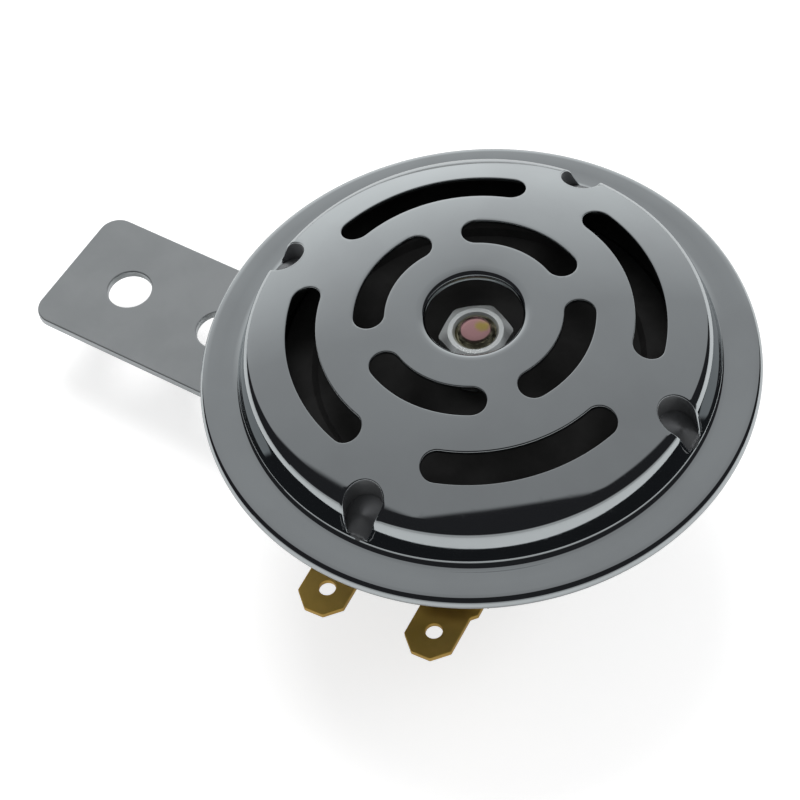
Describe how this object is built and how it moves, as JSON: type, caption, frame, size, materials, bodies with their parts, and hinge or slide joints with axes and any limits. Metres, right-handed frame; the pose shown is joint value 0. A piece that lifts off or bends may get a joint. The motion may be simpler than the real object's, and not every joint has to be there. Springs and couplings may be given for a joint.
{
  "type": "car horn",
  "caption": "Round disc horn: domed pressed grille with curved slots on a stepped metal housing, blade terminals at the back and a flat mounting strip with round holes.",
  "frame": {"origin": "centre of the outer bracket hole, on the bracket's rear face", "axes": "+Z along the horn's own axis, out of the grille; +X along the bracket, away from the horn, so the horn lies on the -X side; the blade terminals point along +Y"},
  "size_m": [0.1001, 0.068, 0.0398],
  "materials": {
    "cover_chrome": "bright dark chrome plating, mirror smooth",
    "housing_zinc": "zinc plated pressed steel, satin",
    "bracket_zinc": "satin zinc plate, fine grain",
    "spring_steel": "blackened spring steel",
    "soft_iron": "machined soft iron, yellow passivated stud",
    "fastener_zinc": "bright zinc plate",
    "terminal_brass": "dull brown brass, stamped",
    "board_fibre": "pressed insulating fibre, matt",
    "gasket_paper": "brown gasket paper, matt",
    "bobbin_nylon": "natural nylon, matt",
    "copper_wire": "enamelled copper wire",
    "arm_bronze": "phosphor bronze strip",
    "contact_metal": "tungsten contact",
    "lead_sleeve": "black insulated lead"
  },
  "bodies": {
    "root": {"front_grille": "cover_chrome", "diaphragm": "spring_steel", "gasket_ring": "gasket_paper", "rear_housing": "housing_zinc", "armature": "soft_iron", "front_washer": "fastener_zinc", "front_lock_washer": "fastener_zinc", "front_nut": "fastener_zinc", "pole_core": "soft_iron", "coil_bobbin": "bobbin_nylon", "coil_winding": "copper_wire", "bracket": "bracket_zinc", "rear_washer": "fastener_zinc", "rear_lock_washer": "fastener_zinc", "rear_nut": "fastener_zinc", "terminal_board": "board_fibre", "inner_board": "board_fibre", "terminal_left": "terminal_brass", "terminal_right": "terminal_brass", "terminal_rivets": "terminal_brass", "terminal_lugs": "terminal_brass", "breaker_board": "board_fibre", "fixed_contact_arm": "arm_bronze", "breaker_spacer": "board_fibre", "moving_contact_arm": "arm_bronze", "breaker_clamp": "housing_zinc", "fixed_contact": "contact_metal", "moving_contact": "contact_metal", "arm_button": "board_fibre", "breaker_sleeves": "board_fibre", "breaker_rivets": "fastener_zinc", "adjusting_bush": "terminal_brass", "adjusting_screw": "fastener_zinc", "adjuster_cap": "board_fibre", "coil_lead": "lead_sleeve", "arm_lead": "lead_sleeve", "ring_lead": "lead_sleeve"}
  },
  "joints": []
}
